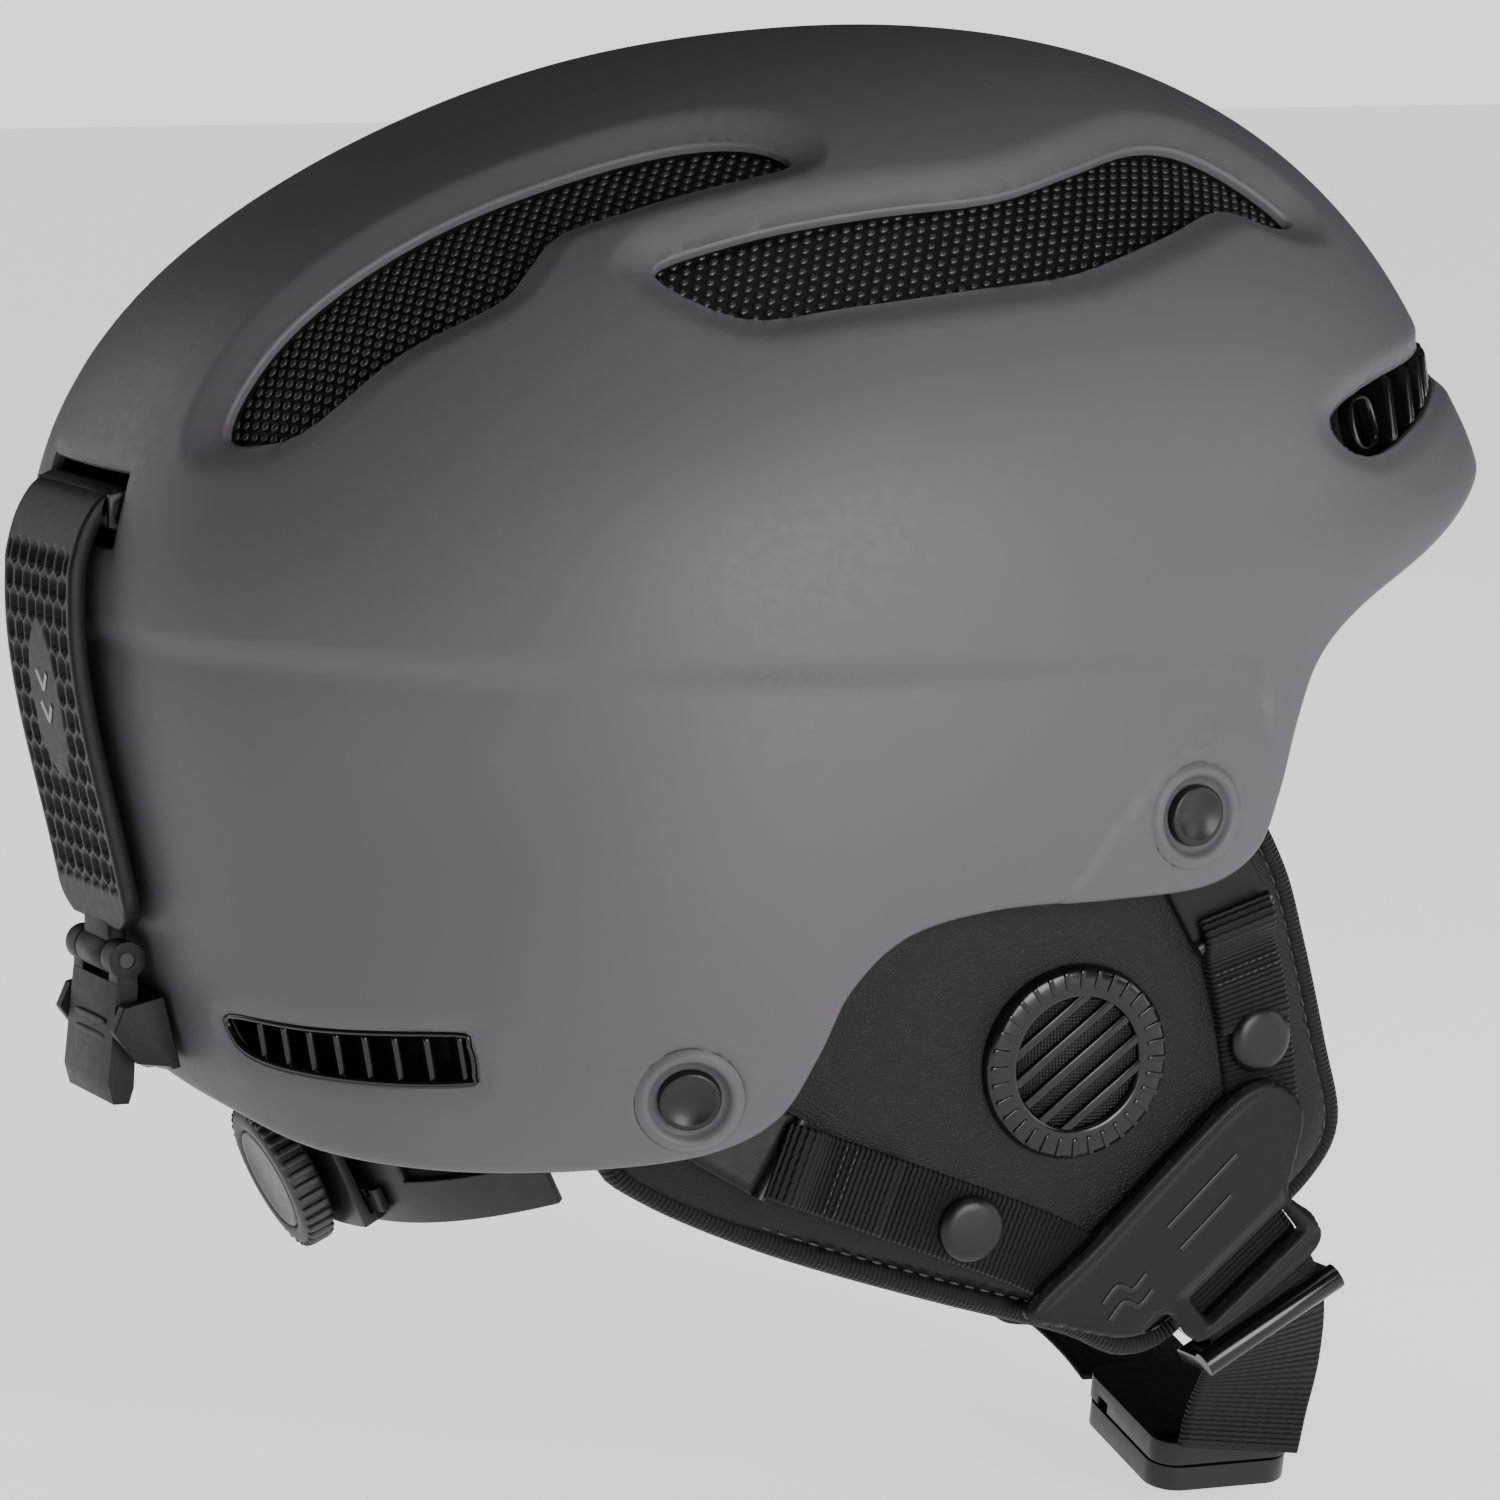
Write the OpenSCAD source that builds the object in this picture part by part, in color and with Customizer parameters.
// Ski helmet: hard shell, foam liner, vents, ear pads, chin strap, fit dial and goggle clip.
// Frame: +X forward, +Y to the wearer's left, +Z up. The origin is the centre of the head.

/* [Shell] */
// Length from the back of the shell to the tip of the brim
shell_length = 286; // [236:1:344]
// Width of the shell over both sides
shell_width = 226; // [188:1:272]
// Height from the crown of the shell down to its rear rim
shell_height = 202; // [168:1:244]
// Wall of the hard shell
shell_wall = 2.4; // [1.8:0.1:3]
// Gap between the shell and the foam liner
liner_gap = 1.3; // [0.4:0.1:1.6]

/* [Vents] */
// Room left round each vent screen
screen_gap = 0.5; // [0.3:0.1:1]
// Wall of a vent screen
screen_wall = 1.8; // [1.2:0.1:2.5]
// Number of slats in the forehead grille
slat_count = 15; // [9:2:19]
// Louvres in each exhaust grille
louvre_count = 8; // [5:1:9]

/* [Padding] */
// Thickness of the comfort pads
pad_wall = 6; // [4:0.5:8]
// Thickness of an ear pad
ear_wall = 11; // [8:0.1:14]
// Width of the tape bound round an ear pad
tape_width = 5; // [4:0.5:6]
// Diameter of the round ear cover
cover_d = 37; // [32:1:40]

/* [Straps] */
// Width of the side webbing
side_web = 15; // [12:1:18]
// Width of the chin webbing
chin_web = 25; // [20:1:30]
// Thickness of the webbing
web_wall = 1.5; // [1.2:0.1:2]
// Diameter of a press stud cap
stud_d = 12.8; // [10:0.2:15]
// Diameter of an anchor cap on the shell
anchor_d = 11.4; // [10:0.2:14]
// Diameter of an anchor shank
shank_d = 6; // [4:0.5:7]

/* [Fit system] */
// Diameter of the fit dial
dial_d = 30; // [24:1:36]
// Thickness of the fit dial
dial_h = 6.5; // [5:0.5:9]
// Teeth on the dial's pinion
pinion_teeth = 12; // [10:2:14]
// Size of one tooth of the pinion and of the bands
tooth_module = 0.9; // [0.8:0.05:1]
// Radius of the arc that the toothed bands run on
band_r = 88; // [82:1:92]
// Running clearance of the dial's shaft
run_gap = 0.06; // [0.03:0.01:0.09]

/* [Goggle clip] */
// Width of the goggle clip's strap
clip_w = 42; // [30:1:52]
// Thickness of the goggle clip's strap
clip_wall = 3.4; // [2.5:0.1:4]
// Diameter of the pin that the clip hangs on
clip_pin_d = 4; // [3:0.5:5]

/* [Hidden] */

plastic = "#26262a";
rubber = "#1d1d20";
cloth = "#2c2c30";
grey = "#6d6a72";

// The shell's side view, as radii from its centre every 20 degrees from the front, over the
// crown and round below. The lengths are for the base size, which size_ratio scales.
shell_profile = [152, 149, 137, 119, 105, 100.5, 101.5, 110, 125, 129, 124, 140, 168, 190, 198,
    190, 178, 165];
cavity_profile = [104, 103, 100, 92, 83, 78, 79, 87, 101, 105, 102, 117, 143, 168, 176, 165, 140,
    115];
size_ratio = [shell_length / 286, shell_width / 226, shell_height / 202];
hub = [-5, 0, 5];
half_width = 113;
cavity_half_width = 86;
pad_gap = 1.1;
squareness = 2.3;
brim_lift = 5;
brim_angle = 6;
brim_spread = 7;

// Rims as [angle from the front, height], from the middle of the brim to the middle of the back
shell_rim = [[0, 29], [14, 27], [25, 22.5], [36, 13], [44.5, 4.5], [49.5, -4.5], [52, -16],
    [53.6, -29], [55.5, -39.5], [60.5, -45], [70, -46], [82, -46.5], [91, -50.5], [96.5, -60],
    [99.5, -72], [103.5, -84], [111, -90.5], [124, -93.5], [138, -94.5], [152, -93], [166, -88],
    [180, -85]];
foam_rim = [[0, 32], [14, 30], [25, 25.5], [36, 16], [44.5, 7.5], [49, 1], [51.5, -7], [55, -14],
    [61, -18], [68, -20], [77, -20.5], [88, -21], [98, -25], [106, -35], [111, -50], [115, -66],
    [120, -80], [130, -88], [142, -90.5], [154, -89], [167, -84], [180, -81]];
rim_steps = 2;
rows = [0, 0.05, 0.11, 0.18, 0.26, 0.36, 0.48, 0.6, 0.72, 0.84, 0.93];

// Vent frames: a place on the skin as [azimuth, latitude], the outline's turn, and the outline
rear_vent = [222.7, 37.2];
rear_vent_outline = [[-58, 3], [-47, 11], [-30, 16], [-6, 18], [20, 16], [44, 12], [57, 5],
    [60, -4], [49, -5], [30, -4], [14, -3], [6, -8], [-3, -13], [-22, -12], [-42, -13], [-52, -8]];
front_vent = [290.2, 40];
front_vent_outline = [[-72, 10], [-56, 11], [-30, 8], [-4, 5], [16, 9], [36, 15], [50, 14],
    [64, 4], [68, -2], [60, -5], [46, -3], [28, -10], [4, -16], [-18, -15], [-42, -12], [-62, -7]];
exhaust_vent = [215, -34.5];
exhaust_outline = [[-31, 5.5], [-10, 6], [22, 6], [25, 3], [25, -3], [22, -5], [-8, -4.5],
    [-26, -3], [-32, 1]];
// Forehead vent in front view, as [sideways, up]
forehead_outline = [[-91, 40], [-78, 46.5], [-52, 49.5], [-20, 51], [20, 51], [52, 49.5],
    [78, 46.5], [91, 40], [88, 32], [72, 37], [52, 42], [20, 44.5], [-20, 44.5], [-52, 42],
    [-72, 37], [-88, 32]];
forehead_back = 60;
forehead_front = 165;
vent_depth = 30;
screen_drop = 4;
louvre_gap = 2.6;
rail_w = 1.2;

// Ear pad, as [forward, up] round its edge, and the middle that it is drawn about
ear_middle = [22, -72];
ear_outline = [[10, -27], [42, -27], [66, -30], [76, -42], [82, -58], [88, -78], [92, -94],
    [86, -105], [70, -118], [58, -132], [47, -135], [34, -129.5], [6, -121], [-24, -111],
    [-46, -101], [-54, -93], [-47, -80], [-37, -62], [-30, -46], [-14, -31]];
ear_steps = 2;
cover_place = [32, -77];
cover_wall = 2.4;
cover_slots = 5;
slot_gap = 1.6;

// Straps
front_anchor = [51, -31];
rear_anchor = [-46, -79];
recess_d = 18;
recess_depth = 1;
cap_wall = 2.2;
nut_wall = 1.4;
tab_wall = 2;
tab_gap = 1.15;
front_tab = [20, 30, -152];
rear_tab = [17, 27, -122];
front_strap_path = [[62, -51.3], [65, -58], [69, -72], [71, -84], [72, -93]];
rear_strap_path = [[-25, -92], [-16, -96], [-2, -101.5], [12, -107], [24, -112], [34, -117]];
stud_places = [[70, -75], [12, -107]];
stud_wall = 2.4;
stud_gap = 0.8;
junction_place = [55, -108];
junction_outline = [[-33, -15], [-20, -3], [-4, 12], [10, 24], [18, 25], [24, 19], [23, 10],
    [22, 3], [28, -2], [28, -9], [8, -23], [2, -23], [-3, -18], [-10, -22], [-24, -19]];
junction_wall = 3;
slot_place = [13, -9.5];
slot_turn = 40;
web_slot = 5.6;
strap_lift = 0.9;
slider_rod_d = 5;

// Chin straps, as points below the ear pads, with the direction of the webbing's width
chin_ear_path = [[60, -108], [64, -113], [69, -119], [73, -124]];
chin_ear_across = [0.76, 0, 0.65];
chin_right_path = [[77, -83.5, -131], [78, -78.5, -141], [77, -75, -150], [76, -73.5, -157.5]];
chin_left_path = [[75.4, 84.8, -128.5], [77.5, 84.4, -135], [78.5, 78, -141.5], [78, 40, -141.5],
    [77, 0, -145.5], [77, -18, -149], [76, -31, -152]];
slider_place = [75.5, -89, -130];
slider_turn = 29;
slider_back = 9.6;
chin_pad_ends = [34, 4];
chin_pad_wall = 4.5;

// Buckle, with its middle and its lean
buckle_place = [76, -52, -157];
buckle_lean = 14;
buckle_w = 29;
buckle_l = 36;
buckle_wall = 4.8;
magnet_d = 10;
magnet_wall = 1.6;
rib_count = 4;

// Cradle: the centre of its arcs and its tilt
cradle_tilt = 25;
cradle_centre = [-3.8, 0, -65.3];
cradle_wall = 2;
cradle_half = 13;
cradle_sweep = 86;
cradle_pad_wall = 6;
band_wall = 1.6;
hanger_lean = 9;
band_gap = 0.4;
band_h = 6.5;
housing_wall = 2;
housing_sweep = 24;
knurls = 36;
shaft_d = 6;

// Goggle clip
clip_top = [-127, 24];
clip_bottom = -54;
clip_lift = 1.5;
clip_steps = 10;
clip_base = 13;
tab_hinge_z = -60;
tab_w = 28;
tab_l = 27;
tab_end_wall = 3;
tab_pin_d = 3;
knuckle_wall = 2;
knuckle_w = 16;
hinge_gap = 0.3;
ear_gap = 1.3;
catch_z = -72;
catch_wall = 1.6;

$fn = 48;

// ---------- Shapes of the helmet's surfaces ----------

function wrapped(i, n) = ((i % n) + n) % n;

// A smooth closed curve through a ring of values, read at an angle
function ring_value(values, angle) =
    let (
        n = len(values),
        t = angle * n / 360,
        i = floor(t),
        f = t - i,
        a = values[wrapped(i - 1, n)],
        b = values[wrapped(i, n)],
        c = values[wrapped(i + 1, n)],
        d = values[wrapped(i + 2, n)]
    )
    (pow(1 - f, 3) * a + (3 * pow(f, 3) - 6 * f * f + 4) * b
        + (-3 * pow(f, 3) + 3 * f * f + 3 * f + 1) * c + pow(f, 3) * d) / 6;

// Radius of the shell's side view at an angle from the front
function shell_radius(angle) =
    ring_value(shell_profile, angle)
    + brim_lift * exp(-pow((angle - brim_angle) / brim_spread, 2));

// Distance from the hub to a rounded surface in the direction d
function reach(d, side_radius, half) =
    let (across = abs(d[1]), along = sqrt(max(0, 1 - across * across)))
    1 / pow(pow(along / side_radius, squareness) + pow(across / half, squareness), 1 / squareness);

function direction(azimuth, latitude) =
    [cos(latitude) * cos(azimuth), cos(latitude) * sin(azimuth), sin(latitude)];

function side_angle(d) = atan2(d[2], d[0]);

function scaled(p) = [p[0] * size_ratio[0], p[1] * size_ratio[1], p[2] * size_ratio[2]];

function skin(azimuth, latitude) =
    let (d = direction(azimuth, latitude))
    scaled(hub + d * reach(d, shell_radius(side_angle(d)), half_width));

function unit(v) = v / norm(v);

function skin_normal(azimuth, latitude) =
    let (
        lat = min(latitude, 88),
        east = skin(azimuth + 1, lat) - skin(azimuth - 1, lat),
        north = skin(azimuth, lat + 1) - skin(azimuth, lat - 1)
    )
    unit(cross(east, north));

function layer_point(azimuth, latitude, depth) =
    skin(azimuth, latitude) - skin_normal(azimuth, latitude) * depth;

// Wall of the cavity for the head, with what is left after a pad of the given depth
function cavity_point(azimuth, latitude, depth = 0) =
    let (d = direction(azimuth, latitude))
    scaled(hub + d * (reach(d, ring_value(cavity_profile, side_angle(d)), cavity_half_width)
        - depth));

// Latitude at which the skin has a given height in base sizes
function latitude_of(azimuth, height, guess = 0, n = 7) =
    n == 0 ? guess
    : let (
        d = direction(azimuth, guess),
        r = reach(d, shell_radius(side_angle(d)), half_width)
    )
    latitude_of(azimuth, height, atan2(height - hub[2], r * cos(guess)), n - 1);

// Curve through points, with steps between each pair
function between(a, b, c, d, f) =
    0.5 * (2 * b + (c - a) * f + (2 * a - 5 * b + 4 * c - d) * f * f
        + (3 * b - a - 3 * c + d) * pow(f, 3));

function open_curve(points, steps) =
    let (n = len(points))
    [for (i = [0:n - 2]) for (s = [0:steps - 1])
        between(points[max(i - 1, 0)], points[i], points[i + 1], points[min(i + 2, n - 1)],
            s / steps)];

function closed_curve(points, steps) =
    let (n = len(points))
    [for (i = [0:n - 1]) for (s = [0:steps - 1])
        between(points[wrapped(i - 1, n)], points[i], points[(i + 1) % n], points[(i + 2) % n],
            s / steps)];

// One side's rim, then its mirror image, as [azimuth, latitude]
function full_rim(rim) =
    let (
        half = concat(open_curve(rim, rim_steps), [rim[len(rim) - 1]]),
        n = len(half)
    )
    concat(
        [for (p = half) [p[0], latitude_of(p[0], p[1])]],
        [for (i = [n - 2:-1:1]) [360 - half[i][0], latitude_of(half[i][0], half[i][1])]]
    );

// Azimuth and latitude of a grid point, from the rim at 0 to the crown at 1
function grid_place(rim, j, t) =
    let (even = 360 * j / len(rim), ease = min(1, t * 1.4))
    [rim[j][0] + (even - rim[j][0]) * ease, rim[j][1] + (90 - rim[j][1]) * t];

function ring_faces(rings, n, first, flip) =
    [for (r = [0:rings - 2]) for (j = [0:n - 1])
        let (
            a = first + r * n + j,
            b = first + r * n + (j + 1) % n,
            c = b + n,
            d = a + n
        )
        each flip ? [[a, c, d], [a, b, c]] : [[a, d, c], [a, c, b]]];

function pole_faces(rings, n, first, flip) =
    [for (j = [0:n - 1])
        let (a = first + (rings - 1) * n + j, b = first + (rings - 1) * n + (j + 1) % n,
            pole = first + rings * n)
        flip ? [a, b, pole] : [a, pole, b]];

function strip_faces(n, first, second) =
    [for (j = [0:n - 1])
        let (a = first + j, b = first + (j + 1) % n, c = second + (j + 1) % n, d = second + j)
        each [[a, b, c], [a, c, d]]];

// A dome with a thickness, from two sets of rings that run from the rim to a pole
module dome(outer, outer_pole, inner, inner_pole) {
    rings = len(outer);
    n = len(outer[0]);
    second = rings * n + 1;
    polyhedron(
        points = concat([for (r = outer) each r], [outer_pole], [for (r = inner) each r],
            [inner_pole]),
        faces = concat(ring_faces(rings, n, 0, false), pole_faces(rings, n, 0, false),
            ring_faces(rings, n, second, true), pole_faces(rings, n, second, true),
            strip_faces(n, 0, second)),
        convexity = 8
    );
}

function layer_rings(rim, depth) =
    [for (t = rows) [for (j = [0:len(rim) - 1])
        let (g = grid_place(rim, j, t)) layer_point(g[0], g[1], depth)]];

function cavity_rings(rim) =
    [for (t = rows) [for (j = [0:len(rim) - 1])
        let (g = grid_place(rim, j, t)) cavity_point(g[0], g[1])]];

// The part of the skin between two depths
module skin_layer(rim, top, bottom) {
    dome(layer_rings(rim, top), layer_point(0, 90, top), layer_rings(rim, bottom),
        layer_point(0, 90, bottom));
}

// Puts its children on the skin, with their Z along the outward normal and X level
module on_skin(azimuth, latitude) {
    n = skin_normal(azimuth, latitude);
    level = unit(cross([0, 0, 1], n));
    up = cross(n, level);
    p = skin(azimuth, latitude);
    multmatrix([
        [level[0], up[0], n[0], p[0]],
        [level[1], up[1], n[1], p[1]],
        [level[2], up[2], n[2], p[2]],
        [0, 0, 0, 1]
    ]) children();
}

module left_side() {
    mirror([0, 1, 0]) children();
}

module both_sides() {
    children();
    left_side() children();
}

// Keeps a carved free-form body as one closed mesh
module as_mesh() {
    resize([0, 0, 0]) children();
}

// ---------- Vents ----------

module outline(points, grow) {
    offset(delta = grow) polygon(closed_curve(points, 2));
}

// Scales an outline with the helmet, so that it stays in the same place on the skin
module vent_cut(place, points, turn, grow, low, high) {
    stretch = (size_ratio[0] + size_ratio[2]) / 2;
    on_skin(place[0], place[1]) rotate([0, 0, turn]) translate([0, 0, low])
        linear_extrude(high - low) outline([for (p = points) p * stretch], grow);
}

rear_turn = 42.7;
front_turn = 9.2;
exhaust_turn = 1.7;

module rear_vent_cut(grow, low = -vent_depth, high = vent_depth) {
    vent_cut(rear_vent, rear_vent_outline, rear_turn, grow, low, high);
}

module front_vent_cut(grow, low = -vent_depth, high = vent_depth) {
    vent_cut(front_vent, front_vent_outline, front_turn, grow, low, high);
}

module exhaust_cut(grow, low = -vent_depth, high = vent_depth) {
    vent_cut(exhaust_vent, exhaust_outline, exhaust_turn, grow, low, high);
}

module forehead_cut(grow) {
    points = [for (p = forehead_outline) [p[0] * size_ratio[1], p[1] * size_ratio[2]]];
    translate([forehead_back, 0, 0]) rotate([90, 0, 90])
        linear_extrude(forehead_front - forehead_back + 20) outline(points, grow);
}

module clip_pocket(grow, depth) {
    translate([clip_top[0] * size_ratio[0] - 15, -clip_w / 2 - 2 - grow,
            clip_top[1] * size_ratio[2] - 7 - grow])
        cube([15 + depth, clip_w + 4 + 2 * grow, 14 + 2 * grow]);
}

// ---------- Anchors ----------

module on_side(place) {
    x = place[0] - hub[0];
    z = place[1] - hub[2];
    r = shell_radius(atan2(z, x));
    y = half_width * pow(1 - pow(norm([x, z]) / r, squareness), 1 / squareness);
    on_skin(360 - atan2(y, x), atan2(z, norm([x, y]))) children();
}

module at_anchors() {
    both_sides() {
        on_side(front_anchor) children();
        on_side(rear_anchor) children();
    }
}

// ---------- Shell and liner ----------

rim_shell = full_rim(shell_rim);
rim_foam = full_rim(foam_rim);

module shell() {
    color(grey) as_mesh() difference() {
        skin_layer(rim_shell, 0, shell_wall);
        both_sides() {
            rear_vent_cut(0);
            front_vent_cut(0);
            exhaust_cut(0);
        }
        forehead_cut(0);
        at_anchors() {
            translate([0, 0, -shell_wall * 2]) cylinder(d = shank_d + 0.6, h = shell_wall * 4,
                $fn = 24);
            translate([0, 0, -recess_depth]) cylinder(d = recess_d, h = 8, $fn = 32);
        }
        clip_pocket(1, 15);
    }
}

module foam_liner() {
    skin_depth = shell_wall + liner_gap;
    floor_depth = skin_depth + screen_drop + screen_wall;
    color("#3a3a3e") as_mesh() difference() {
        dome(layer_rings(rim_foam, skin_depth), layer_point(0, 90, skin_depth),
            cavity_rings(rim_foam), cavity_point(0, 90));
        both_sides() {
            rear_vent_cut(-4);
            front_vent_cut(-4);
            exhaust_cut(-1.5);
        }
        forehead_cut(-1.6);
        intersection() {
            skin_layer(rim_shell, -2, floor_depth);
            union() {
                both_sides() {
                    rear_vent_cut(2 + screen_gap);
                    front_vent_cut(2 + screen_gap);
                    exhaust_cut(1 + screen_gap);
                }
                forehead_cut(1 + screen_gap);
            }
        }
        clip_pocket(1.5, 16);
    }
}

module screen_layer() {
    depth = shell_wall + liner_gap + screen_drop - 0.4;
    skin_layer(rim_shell, depth, depth + screen_wall);
}

module vent_screen_front_right() {
    color("#17171a") as_mesh() intersection() {
        screen_layer();
        front_vent_cut(2);
    }
}

module vent_screen_front_left() {
    left_side() vent_screen_front_right();
}

module vent_screen_rear_right() {
    color("#17171a") as_mesh() intersection() {
        screen_layer();
        rear_vent_cut(2);
    }
}

module vent_screen_rear_left() {
    left_side() vent_screen_rear_right();
}

module forehead_grille() {
    pitch = 2 * 82 * size_ratio[1] / slat_count;
    color(plastic) as_mesh() difference() {
        intersection() {
            skin_layer(rim_shell, shell_wall * 0.5, shell_wall + liner_gap + screen_drop);
            forehead_cut(-screen_gap);
        }
        intersection() {
            forehead_cut(-screen_gap - rail_w);
            for (i = [0.5:slat_count - 0.5])
                translate([forehead_back, (i - slat_count / 2) * pitch, 34 * size_ratio[2]])
                    rotate([i < slat_count / 2 ? 18 : -18, 0, 0])
                        translate([0, -louvre_gap, 0])
                            cube([140 * size_ratio[0], 2 * louvre_gap, 18 * size_ratio[2]]);
        }
    }
}

module exhaust_grille_right() {
    pitch = 48 / louvre_count;
    color(plastic) as_mesh() difference() {
        intersection() {
            skin_layer(rim_shell, shell_wall * 0.5, shell_wall + liner_gap + screen_drop);
            exhaust_cut(-screen_gap);
        }
        on_skin(exhaust_vent[0], exhaust_vent[1]) rotate([0, 0, exhaust_turn])
            for (i = [0:louvre_count - 1])
                translate([-23.5 + (i + 0.3) * pitch, -2.6, -vent_depth / 2])
                    cube([louvre_gap, 6.4, vent_depth]);
    }
}

module exhaust_grille_left() {
    left_side() exhaust_grille_right();
}

module anchor_caps() {
    tip = shell_wall + tab_gap + tab_wall + tab_gap + nut_wall;
    color(plastic) at_anchors() {
        translate([0, 0, -recess_depth]) cylinder(d = anchor_d, h = cap_wall);
        translate([0, 0, -tip]) cylinder(d = shank_d, h = tip - recess_depth + 0.5, $fn = 32);
    }
}

module anchor_nuts() {
    top = shell_wall + tab_gap + tab_wall + tab_gap;
    color("silver") at_anchors() difference() {
        translate([0, 0, -top - nut_wall]) cylinder(d = anchor_d - 0.6, h = nut_wall, $fn = 32);
        translate([0, 0, -top - nut_wall - 1]) cylinder(d = shank_d, h = nut_wall + 2, $fn = 32);
    }
}

// ---------- Comfort pads ----------

// A pad on the cavity wall between two azimuths and two latitudes, thin at its edges
module cavity_pad(from, to, low, high, across, up) {
    n = across + 1;
    m = up + 1;
    gap = pad_gap;
    function edge(i, count) = min(1, 0.35 + 4 * min(i, count - i) / count);
    function place(i, j, depth) =
        cavity_point(from + (to - from) * i / across, low + (high - low) * j / up, depth);
    back = [for (j = [0:up]) for (i = [0:across]) place(i, j, gap)];
    face = [for (j = [0:up]) for (i = [0:across])
        place(i, j, gap + pad_wall * min(edge(i, across), edge(j, up)))];
    quads = [for (j = [0:up - 1]) for (i = [0:across - 1])
        [j * n + i, j * n + i + 1, (j + 1) * n + i + 1, (j + 1) * n + i]];
    border = concat(
        [for (i = [0:across - 1]) i],
        [for (j = [0:up - 1]) j * n + across],
        [for (i = [across:-1:1]) up * n + i],
        [for (j = [up:-1:1]) j * n]
    );
    total = n * m;
    polyhedron(
        points = concat(back, face),
        faces = concat(
            [for (q = quads) each [[q[0], q[2], q[1]], [q[0], q[3], q[2]]]],
            [for (q = quads) each [[q[0] + total, q[1] + total, q[2] + total],
                [q[0] + total, q[2] + total, q[3] + total]]],
            [for (k = [0:len(border) - 1])
                let (a = border[k], b = border[(k + 1) % len(border)])
                each [[a, b, b + total], [a, b + total, a + total]]]
        ),
        convexity = 4
    );
}

module brow_pad() {
    color(cloth) cavity_pad(-42, 42, 14, 30, 14, 3);
}

module crown_pad() {
    gap = pad_gap;
    around = 36;
    latitudes = [64, 66, 74, 82];
    rise = [0.4, 1, 1, 1];
    function ring(i, depth) =
        [for (j = [0:around - 1]) cavity_point(j * 360 / around, latitudes[i], depth)];
    color(cloth) dome(
        [for (i = [0:3]) ring(i, gap)], cavity_point(0, 90, gap),
        [for (i = [0:3]) ring(i, gap + pad_wall * rise[i])], cavity_point(0, 90, gap + pad_wall)
    );
}

module side_pad_right() {
    color(cloth) cavity_pad(238, 304, 6, 34, 10, 4);
}

module side_pad_left() {
    left_side() side_pad_right();
}

module nape_pad_right() {
    color(cloth) cavity_pad(190, 228, -34, -6, 7, 5);
}

module nape_pad_left() {
    left_side() nape_pad_right();
}

// ---------- Ear pads ----------

// Distance of an ear pad's outer face from the middle plane, at a place in side view
function ear_face(x, z) =
    let (
        u = x / size_ratio[0],
        w = z / size_ratio[2],
        ahead = max(u - 20, 0),
        behind = max(20 - u, 0),
        below = max(-40 - w, 0)
    )
    (98 - 0.0012 * ahead * ahead - 0.0025 * behind * behind - 0.1 * below) * size_ratio[1];

// A point at a height over the outer face of the right ear pad
function ear_point(x, z, lift) = [x, -ear_face(x, z) - lift, z];

function side_place(p) = [p[0] * size_ratio[0], p[1] * size_ratio[2]];

// Puts its children on the right ear pad, with X forward, Y up and Z outwards
module on_ear(place, lift = 0) {
    p = side_place(place);
    e = 1;
    slope_x = (ear_face(p[0] + e, p[1]) - ear_face(p[0] - e, p[1])) / (2 * e);
    slope_z = (ear_face(p[0], p[1] + e) - ear_face(p[0], p[1] - e)) / (2 * e);
    n = unit([-slope_x, -1, -slope_z]);
    ahead = unit(cross([0, 0, 1], -n) * -1);
    up = cross(n, ahead);
    q = ear_point(p[0], p[1], lift);
    multmatrix([
        [ahead[0], up[0], n[0], q[0]],
        [ahead[1], up[1], n[1], q[1]],
        [ahead[2], up[2], n[2], q[2]],
        [0, 0, 0, 1]
    ]) children();
}

ear_edge = [for (p = closed_curve(ear_outline, ear_steps)) side_place(p)];
ear_centre = side_place(ear_middle);

// The pad's edge moved inwards by a distance, then towards its middle by a share
function ear_ring(inset, share = 1) =
    [for (p = ear_edge)
        let (v = p - ear_centre, d = norm(v)) ear_centre + v * (d - inset) / d * share];

module ear_pad_right() {
    n = len(ear_edge);
    inset = tape_width / 2 + 0.4;
    shares = [1, 0.96, 0.8, 0.45];
    crowns = [0, 0.6, 0.9, 1];
    half = ear_wall / 2;
    function face(k, side) =
        [for (p = ear_ring(inset, shares[k]))
            let (depth = half + side * (tape_width / 2 - 0.4 + (half - tape_width / 2 + 0.4)
                * crowns[k]))
            ear_point(p[0], p[1], -depth)];
    rings_out = [for (k = [0:3]) face(k, -1)];
    rings_in = [for (k = [0:3]) face(k, 1)];
    middle = ear_centre;
    // The outer face's rings run the other way round, so that its faces look outwards
    color(cloth) dome(
        [for (r = rings_out) [for (i = [n - 1:-1:0]) r[i]]], ear_point(middle[0], middle[1], 0),
        [for (r = rings_in) [for (i = [n - 1:-1:0]) r[i]]],
        ear_point(middle[0], middle[1], -ear_wall)
    );
}

module ear_pad_left() {
    left_side() ear_pad_right();
}

// The tape is a square ring round the pad's edge
module ear_tape_right() {
    n = len(ear_edge);
    half = tape_width / 2;
    depth = ear_wall / 2;
    rings = [for (s = [[half, -half], [0, -half * 0.6], [0, half * 0.6], [half, half]])
        [for (p = ear_ring(s[0])) ear_point(p[0], p[1], -depth + s[1])]];
    m = len(rings);
    color(cloth) polyhedron(
        points = [for (r = rings) each r],
        faces = [for (k = [0:m - 1]) for (j = [0:n - 1])
            let (a = k * n + j, b = k * n + (j + 1) % n, c = ((k + 1) % m) * n + (j + 1) % n,
                d = ((k + 1) % m) * n + j)
            each [[a, b, c], [a, c, d]]],
        convexity = 8
    );
}

module ear_tape_left() {
    left_side() ear_tape_right();
}

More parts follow.
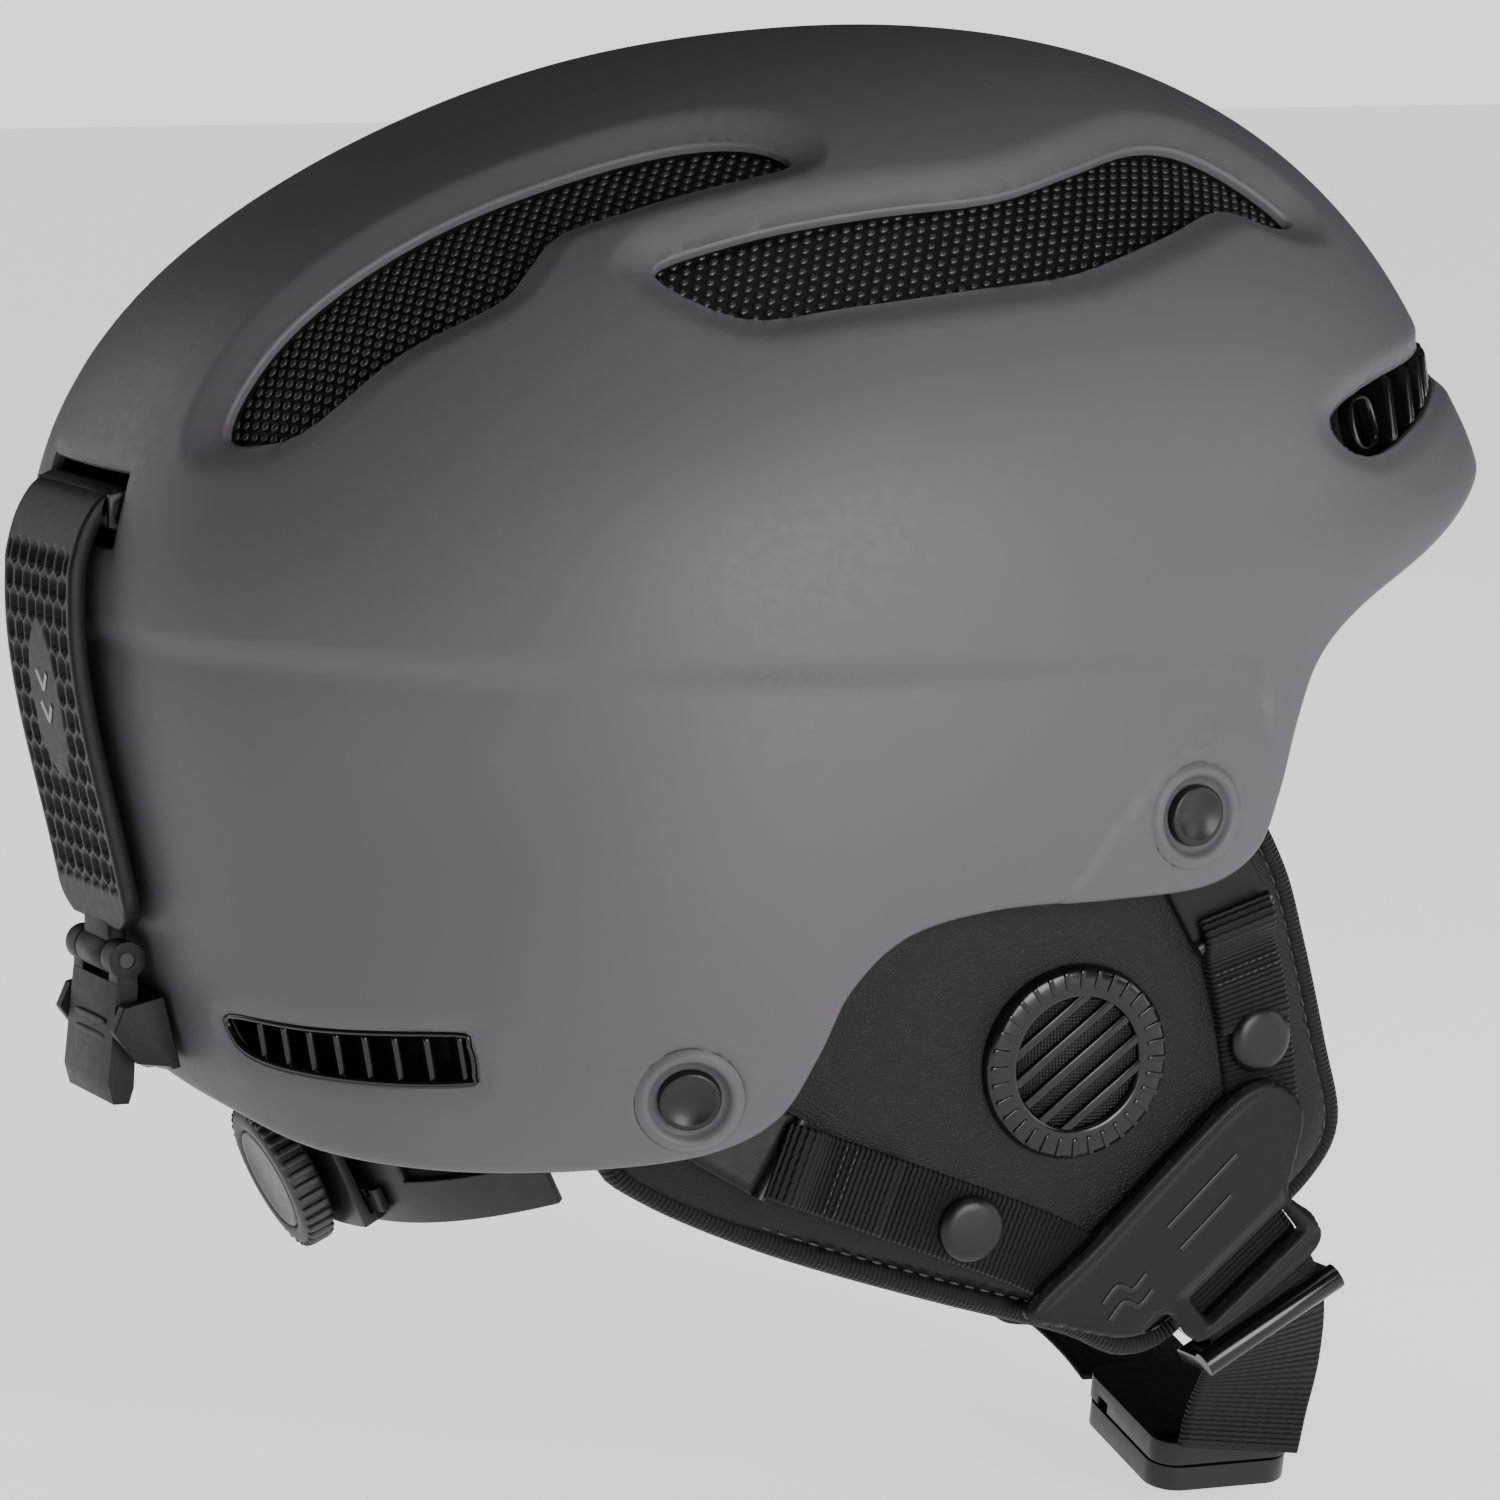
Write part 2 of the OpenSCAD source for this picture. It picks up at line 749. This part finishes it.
module ear_cover_right() {
    bore = cover_d * 0.68;
    pitch = bore / cover_slots;
    color(plastic) on_ear(cover_place, 0.8) difference() {
        cylinder(d = cover_d, h = cover_wall);
        translate([0, 0, -1]) intersection() {
            cylinder(d = bore, h = cover_wall + 2);
            rotate([0, 0, 38]) for (i = [0:cover_slots - 1])
                translate([-bore / 2, -bore / 2 + i * pitch + slot_gap / 2, 0])
                    cube([bore, pitch - slot_gap, cover_wall + 2]);
        }
        translate([0, 0, -1]) cylinder(d = bore + 2, h = 1.8);
    }
}

module ear_cover_left() {
    left_side() ear_cover_right();
}

module ear_mesh_right() {
    color("#3c3c40") on_ear(cover_place, 0.8) cylinder(d = cover_d * 0.68 + 1, h = 0.6);
}

module ear_mesh_left() {
    left_side() ear_mesh_right();
}

// ---------- Straps ----------

// A flat band through points. Each point has the direction of the band's width.
module web(points, widths, width, wall) {
    n = len(points);
    function along(i) = unit(points[min(i + 1, n - 1)] - points[max(i - 1, 0)]);
    function section(i) =
        let (w = unit(widths[i]) * width / 2, t = unit(cross(along(i), unit(widths[i]))) * wall)
        [points[i] - w, points[i] + w, points[i] + w + t, points[i] - w + t];
    polyhedron(
        points = [for (i = [0:n - 1]) each section(i)],
        faces = concat(
            [[0, 1, 2], [0, 2, 3]],
            [for (i = [0:n - 2]) for (k = [0:3])
                let (a = i * 4 + k, b = i * 4 + (k + 1) % 4)
                each [[a, b + 4, b], [a, a + 4, b + 4]]],
            [[n * 4 - 4, n * 4 - 2, n * 4 - 3], [n * 4 - 4, n * 4 - 1, n * 4 - 2]]
        ),
        convexity = 6
    );
}

// Webbing that lies on the right ear pad
module ear_web(path, width, lift) {
    line = [for (p = open_curve(path, 2)) side_place(p)];
    n = len(line);
    points = [for (p = line) ear_point(p[0], p[1], lift)];
    across = [for (i = [0:n - 1])
        let (v = line[min(i + 1, n - 1)] - line[max(i - 1, 0)]) [-v[1], 0, v[0]]];
    web(points, across, width, web_wall);
}

module front_strap_right() {
    color(cloth) ear_web(front_strap_path, side_web, strap_lift);
}

module front_strap_left() {
    left_side() front_strap_right();
}

module rear_strap_right() {
    color(cloth) ear_web(rear_strap_path, side_web, strap_lift);
}

module rear_strap_left() {
    left_side() rear_strap_right();
}

// A plate inside the shell from an anchor's shank to a strap, with a bar for the strap's loop
module strap_tab(size) {
    w = size[0];
    l = size[1];
    top = shell_wall + tab_gap;
    color(plastic) translate([0, 0, -top - tab_wall]) difference() {
        rotate([0, 0, size[2]]) union() {
            translate([0, -w / 2, 0]) cube([l, w, tab_wall]);
            cylinder(d = w, h = tab_wall);
        }
        translate([0, 0, -1]) cylinder(d = shank_d + 0.3, h = tab_wall + 2, $fn = 32);
    }
}

module strap_tabs_right() {
    on_side(front_anchor) strap_tab([front_tab[0], front_tab[1], front_tab[2] + 90]);
    on_side(rear_anchor) strap_tab([rear_tab[0], rear_tab[1], rear_tab[2] + 90]);
}

module strap_tabs_left() {
    left_side() strap_tabs_right();
}

module press_studs_right() {
    color(rubber) for (p = stud_places)
        on_ear(p, strap_lift + web_wall + stud_gap) union() {
            cylinder(d1 = stud_d, d2 = stud_d - 1.6, h = stud_wall / 2);
            cylinder(d = stud_d * 0.8, h = stud_wall);
        }
}

module press_studs_left() {
    left_side() press_studs_right();
}

module junction_right() {
    color(rubber) on_ear(junction_place, strap_lift + web_wall + 0.8) difference() {
        linear_extrude(junction_wall) polygon(closed_curve(junction_outline, 3));
        translate([slot_place[0], slot_place[1], -1]) rotate([0, 0, slot_turn])
            translate([-(chin_web + 1.4) / 2, -web_slot / 2, 0])
                cube([chin_web + 1.4, web_slot, junction_wall + 2]);
    }
}

module junction_left() {
    left_side() junction_right();
}

// ---------- Chin strap and buckle ----------

module chin_strap_right() {
    lift = strap_lift;
    upper = [for (q = chin_ear_path) let (p = side_place(q)) ear_point(p[0], p[1], lift)];
    lower = [for (q = chin_right_path) scaled(q)];
    points = concat(upper, lower);
    across = concat([for (q = upper) chin_ear_across],
        [[0.9, 0, 0.42], [0.98, 0, 0.2], [1, 0, 0], [1, 0, 0]]);
    color(cloth) web(points, across, chin_web, web_wall);
}

module chin_strap_left() {
    lift = strap_lift + web_wall;
    upper = [for (q = chin_ear_path) let (p = side_place(q)) ear_point(p[0], p[1], lift)];
    lower = [for (q = chin_left_path) scaled(q)];
    points = concat([for (q = upper) [q[0], -q[1], q[2]]], lower);
    across = concat([for (q = upper) chin_ear_across],
        [[0.9, 0, 0.42], [0.98, 0, 0.15], [1, 0, 0], [1, 0, 0], [1, 0, 0], [1, 0, 0], [1, 0, 0]]);
    color(cloth) web(points, across, chin_web, web_wall);
}

// The adjuster: a glossy rod outside the webbing and a bar behind it, joined by two cheeks
module slider_right() {
    span = chin_web + 1.6;
    cheek = 2.4;
    color("#1a1a1c") translate(scaled(slider_place)) rotate([0, -slider_turn, 0]) {
        translate([-span / 2 - cheek, 0, 0]) rotate([0, 90, 0])
            cylinder(d = slider_rod_d, h = span + 2 * cheek);
        translate([-span / 2 - cheek, slider_back, 0]) rotate([0, 90, 0])
            cylinder(d = 3, h = span + 2 * cheek);
        for (x = [-span / 2 - cheek, span / 2])
            translate([x, 0, -1.5]) cube([cheek, slider_back, 3]);
    }
}

module slider_left() {
    left_side() slider_right();
}

// Padded sleeve round the straight part of the chin strap
module chin_pad() {
    w = chin_web + 7;
    start = scaled(chin_left_path[3]);
    end = scaled(chin_left_path[4]);
    function at(y) = start + (end - start) * (y * size_ratio[1] - start[1]) / (end[1] - start[1]);
    a = at(chin_pad_ends[0]);
    b = at(chin_pad_ends[1]);
    length = norm(a - b);
    lean = atan2(a[2] - b[2], a[1] - b[1]);
    color(cloth) translate(b) rotate([lean, 0, 0]) difference() {
        translate([-w / 2, 0, -chin_pad_wall / 2 + 0.7]) cube([w, length, chin_pad_wall + 1.5]);
        translate([-chin_web / 2 - 1, -1, -0.9]) cube([chin_web + 2, length + 2, web_wall + 1.9]);
    }
}

module at_buckle() {
    translate(scaled(buckle_place)) rotate([buckle_lean, 0, 0]) children();
}

module rounded_plate(w, l, r, h) {
    translate([-w / 2 + r, -l / 2, 0]) cube([w - 2 * r, l, h]);
    translate([-w / 2, -l / 2 + r, 0]) cube([w, l - 2 * r, h]);
    for (x = [-1, 1]) for (y = [-1, 1])
        translate([x * (w / 2 - r), y * (l / 2 - r), 0]) cylinder(r = r, h = h);
}

buckle_gap = 0.25;
web_slot_l = 3.4;
keel_w = 3.6;
keel_h = 1.5;
keel_y = 8.5;

module web_opening(y) {
    translate([-chin_web / 2 - 0.6, y - web_slot_l / 2, -20])
        cube([chin_web + 1.2, web_slot_l, 40]);
}

module buckle_base() {
    color(plastic) at_buckle() difference() {
        translate([0, 0, buckle_gap]) rounded_plate(buckle_w, buckle_l, 5, buckle_wall);
        translate([0, -2, 0]) cylinder(d = magnet_d, h = buckle_gap + magnet_wall);
        web_opening(-buckle_l / 2 + 4.5);
        translate([-buckle_w, keel_y - keel_w / 2 - 0.3, -1])
            cube([2 * buckle_w, keel_w + 0.6, 1 + buckle_gap + keel_h + 0.4]);
    }
}

module buckle_tongue() {
    top = -buckle_gap;
    color("#1c1c1f") at_buckle() difference() {
        union() {
            translate([0, 0, top - buckle_wall]) rounded_plate(buckle_w, buckle_l, 6, buckle_wall);
            translate([-buckle_w / 2 + 2, keel_y - keel_w / 2, top - 1])
                cube([buckle_w - 4, keel_w, 1 + keel_h]);
            for (i = [0:rib_count - 1])
                translate([-buckle_w / 2 + 4, -buckle_l / 2 + 3 + i * 2.6, top - buckle_wall - 1])
                    cube([buckle_w - 8, 1.3, 1.2]);
        }
        translate([0, -2, top - magnet_wall]) cylinder(d = magnet_d, h = magnet_wall + 1);
        web_opening(buckle_l / 2 - 4.5);
    }
}

module base_magnet() {
    color("silver") at_buckle() translate([0, -2, buckle_gap + 0.02])
        cylinder(d = magnet_d, h = magnet_wall - 0.02);
}

module tongue_magnet() {
    color("silver") at_buckle() translate([0, -2, -buckle_gap - magnet_wall])
        cylinder(d = magnet_d, h = magnet_wall - 0.02);
}

// ---------- Cradle and fit dial ----------

// The cradle's frame: Z is the axis of its arcs, and the dial is at an angle of 180 degrees
module in_cradle() {
    translate(scaled(cradle_centre)) rotate([0, -cradle_tilt, 0]) children();
}

// A piece of a ring between two radii, two heights and two angles
module arc(r0, r1, h0, h1, from, to) {
    rotate([0, 0, from]) rotate_extrude(angle = to - from, $fn = 120)
        translate([r0, h0]) square([r1 - r0, h1 - h0]);
}

pinion_r = pinion_teeth * tooth_module / 2;
band_inner = band_r - band_wall / 2;
band_outer = band_r + band_wall / 2;
frame_outer = band_inner - band_gap;
frame_inner = frame_outer - cradle_wall;
housing_inner = band_outer + band_gap;
housing_outer = housing_inner + housing_wall;
tooth_height = 0.75 * tooth_module;
tooth_root = tooth_module;
rack_back = pinion_r + tooth_root;
rack_top = rack_back + 3.2;
housing_half = rack_top + 0.4;
tooth_angle = PI * tooth_module / band_r * 180 / PI;
rack_teeth = 7;
rack_sweep = 15;
rack_gap_share = 0.66;
half_sweep = cradle_sweep / 2;

module cradle() {
    color(plastic) in_cradle() difference() {
        arc(frame_inner, frame_outer, -cradle_half, cradle_half, 180 - half_sweep,
            180 + half_sweep);
        for (a = [-28, 28])
            arc(frame_inner - 1, frame_outer + 1, -4, 4, 180 + a - 8, 180 + a + 8);
    }
}

module cradle_pad_right() {
    top = frame_inner - 0.3;
    color(cloth) in_cradle()
        arc(top - cradle_pad_wall, top, -cradle_half - 1.5, cradle_half + 1.5, 185,
            180 + half_sweep - 1);
}

module cradle_pad_left() {
    left_side() cradle_pad_right();
}

// The leaf that hangs the cradle from the liner
module hanger() {
    foot = [-frame_outer - 1, 0, cradle_half + 0.3];
    color(plastic) in_cradle() translate(foot) rotate([0, hanger_lean, 0])
        translate([0, -8, 0]) cube([1.8, 16, 27]);
}

module dial_housing() {
    color(plastic) in_cradle() difference() {
        arc(frame_outer + 0.05, housing_outer, -housing_half - 1.8, housing_half + 1.8,
            180 - housing_sweep / 2, 180 + housing_sweep / 2);
        arc(frame_outer - 1, housing_inner, -housing_half, housing_half,
            180 - housing_sweep, 180 + housing_sweep);
        rotate([0, -90, 0]) cylinder(d = shaft_d + 2 * run_gap, h = band_r * 2);
    }
}

dial_start = housing_outer + 0.5;

module along_dial(from) {
    in_cradle() rotate([0, -90, 0]) translate([0, 0, from]) children();
}

module dial() {
    color("#3b3940") along_dial(dial_start) difference() {
        cylinder(d = dial_d, h = dial_h);
        for (i = [0:knurls - 1])
            rotate([0, 0, i * 360 / knurls]) translate([dial_d / 2 + 0.35, 0, -1])
                cylinder(d = 2, h = dial_h + 2, $fn = 16);
        translate([0, 0, -1]) cylinder(d = shaft_d, h = dial_h + 2);
        translate([0, 0, dial_h - 1.2]) cylinder(d = dial_d * 0.7, h = 3);
    }
}

module dial_cap() {
    color(plastic) along_dial(dial_start + dial_h - 1.18)
        cylinder(d = dial_d * 0.7 - 0.3, h = 1.18);
}

// A tooth's outline, from its root to its tip
function pinion_outline() =
    let (step = 360 / pinion_teeth, root = pinion_r - tooth_root, tip = pinion_r + tooth_height)
    [for (i = [0:pinion_teeth - 1]) for (c = [[-0.3, root], [-0.11, tip], [0.11, tip],
        [0.3, root]])
        let (a = (i + c[0]) * step) [c[1] * cos(a), c[1] * sin(a)]];

module dial_shaft() {
    color("#9a9aa0") {
        along_dial(band_inner + 0.1) linear_extrude(band_wall - 0.2) polygon(pinion_outline());
        along_dial(band_inner + 0.2)
            cylinder(d = shaft_d, h = dial_start + dial_h - 1.2 - band_inner - 0.2);
    }
}

// The band for the right side, which is the upper rack. The left one is the lower rack.
// The gaps between its teeth are cut through it.
module band(outer_end) {
    tip = pinion_r - tooth_height + 0.1;
    start = 180 - rack_sweep;
    gap_angle = tooth_angle * rack_gap_share;
    in_cradle() difference() {
        arc(band_inner, band_outer, rack_top - band_h, rack_top, start, outer_end);
        arc(band_inner - 1, band_outer + 1, 0, tip, start - 1, 180 + rack_sweep);
        for (i = [-rack_teeth:rack_teeth])
            arc(band_inner - 1, band_outer + 1, tip - 0.5, rack_back,
                180 + i * tooth_angle - gap_angle / 2, 180 + i * tooth_angle + gap_angle / 2);
    }
}

module band_right() {
    color(plastic) band(180 + half_sweep - 1);
}

module band_left() {
    color(plastic) in_cradle() rotate([180, 0, 0]) rotate([0, cradle_tilt, 0])
        translate(-scaled(cradle_centre)) band(180 + half_sweep - 1);
}

// ---------- Goggle clip ----------

function back_latitude(z) = latitude_of(180, z);

// Point in the middle plane at a height and a distance out from the skin
function back_point(z, out) =
    let (
        lat = back_latitude(z),
        n = skin_normal(180, lat),
        p = skin(180, lat) + n * out
    )
    [p[0], p[2]];

clip_pin_place = [clip_top[0] * size_ratio[0], clip_top[1] * size_ratio[2]];
knuckle_r = tab_pin_d / 2 + knuckle_wall;
tab_hinge = back_point(tab_hinge_z, knuckle_r + 1);
clip_knuckle_r = clip_pin_d / 2 + 2.2;

// Extrudes a side view outline over a width in the middle of the helmet
module across_middle(width) {
    translate([0, width / 2, 0]) rotate([90, 0, 0]) linear_extrude(width) children();
}

module middle_pin(place, d, width) {
    translate([place[0], width / 2, place[1]]) rotate([90, 0, 0]) cylinder(d = d, h = width);
}

module clip_strap() {
    heights = [for (i = [0:clip_steps]) clip_base + (clip_bottom - clip_base) * i / clip_steps];
    under = [for (z = heights) back_point(z, clip_lift)];
    over = [for (z = heights) back_point(z, clip_lift + clip_wall)];
    top = clip_pin_place;
    color(rubber) difference() {
        union() {
            across_middle(clip_w) polygon(concat(
                [[top[0] - 1, top[1] - 2], [top[0] - 1, top[1] + 3.4],
                    [top[0] - 3.4, top[1] + 2.4], [top[0] - 5.6, top[1] - 1.5]],
                over, [for (i = [clip_steps:-1:0]) under[i]]));
            middle_pin(top, 2 * clip_knuckle_r, clip_w);
            across_middle(knuckle_w) polygon([over[clip_steps], under[clip_steps],
                tab_hinge + [2.2, 0], tab_hinge + [-2.2, 0]]);
            middle_pin(tab_hinge, 2 * knuckle_r, knuckle_w);
        }
        middle_pin(top, clip_pin_d + 2 * run_gap, clip_w + 2);
        middle_pin(tab_hinge, tab_pin_d + 2 * run_gap, knuckle_w + 2);
    }
}

module clip_tab() {
    foot = tab_hinge + [0, -tab_l];
    plate_top = tab_hinge + [0, -knuckle_r - 1];
    knuckle = (tab_w - knuckle_w) / 2 - hinge_gap;
    color(rubber) difference() {
        union() {
            across_middle(tab_w) polygon([plate_top + [-2, 0], plate_top + [2, 0],
                foot + [1, 3], foot, foot + [-tab_end_wall, 0], foot + [-tab_end_wall - 1, 4]]);
            for (side = [-1, 1])
                translate([0, side * (tab_w - knuckle) / 2, 0]) {
                    middle_pin(tab_hinge, 2 * knuckle_r, knuckle);
                    across_middle(knuckle) polygon([tab_hinge + [-1.9, 0],
                        tab_hinge + [1.9, 0], plate_top + [1.9, -1], plate_top + [-1.9, -1]]);
                }
        }
        middle_pin(tab_hinge, tab_pin_d, tab_w + 4);
    }
}

module clip_tab_pin() {
    color("silver") middle_pin(tab_hinge, tab_pin_d, tab_w - 1);
}

mount_ear = 1.4;

module clip_pin() {
    color("silver") middle_pin(clip_pin_place, clip_pin_d, clip_w + 0.6 + 2 * mount_ear);
}

module clip_mount() {
    p = clip_pin_place;
    w = clip_w + 0.6 + 2 * mount_ear;
    back = p[0] + 12.5;
    color(plastic) difference() {
        union() {
            translate([back, -w / 2, p[1] - 6]) cube([2.2, w, 12]);
            for (side = [-1, 1])
                translate([0, side * (w - mount_ear) / 2, 0]) across_middle(mount_ear)
                    polygon([[back + 1, p[1] - 6], [back + 1, p[1] + 6], [p[0] - 3, p[1] + 3],
                        [p[0] - 3, p[1] - 3]]);
        }
        middle_pin(p, clip_pin_d, w + 2);
    }
}

module clip_catch() {
    inside = tab_w + 2 * ear_gap;
    color(plastic) on_skin(180, back_latitude(catch_z)) {
        translate([-inside / 2 - 3.4, -9, 0.4]) cube([inside + 6.8, 14, catch_wall]);
        for (side = [-1, 1])
            translate([side * (inside / 2 + 1.7), 0, 0.4]) rotate([90, 0, 90])
                translate([0, 0, -1.7]) linear_extrude(3.4)
                    polygon([[-9, 0], [5, 0], [5, 8], [1, 11], [-6, 8]]);
    }
}

shell();
foam_liner();
vent_screen_front_right();
vent_screen_front_left();
vent_screen_rear_right();
vent_screen_rear_left();
forehead_grille();
exhaust_grille_right();
exhaust_grille_left();
anchor_caps();
anchor_nuts();
brow_pad();
crown_pad();
side_pad_right();
side_pad_left();
nape_pad_right();
nape_pad_left();
ear_pad_right();
ear_pad_left();
ear_tape_right();
ear_tape_left();
ear_cover_right();
ear_cover_left();
ear_mesh_right();
ear_mesh_left();
strap_tabs_right();
strap_tabs_left();
front_strap_right();
front_strap_left();
rear_strap_right();
rear_strap_left();
press_studs_right();
press_studs_left();
junction_right();
junction_left();
chin_strap_right();
chin_strap_left();
slider_right();
slider_left();
chin_pad();
buckle_base();
buckle_tongue();
base_magnet();
tongue_magnet();
cradle();
cradle_pad_right();
cradle_pad_left();
hanger();
dial_housing();
dial();
dial_shaft();
dial_cap();
band_right();
band_left();
clip_mount();
clip_pin();
clip_strap();
clip_tab();
clip_tab_pin();
clip_catch();
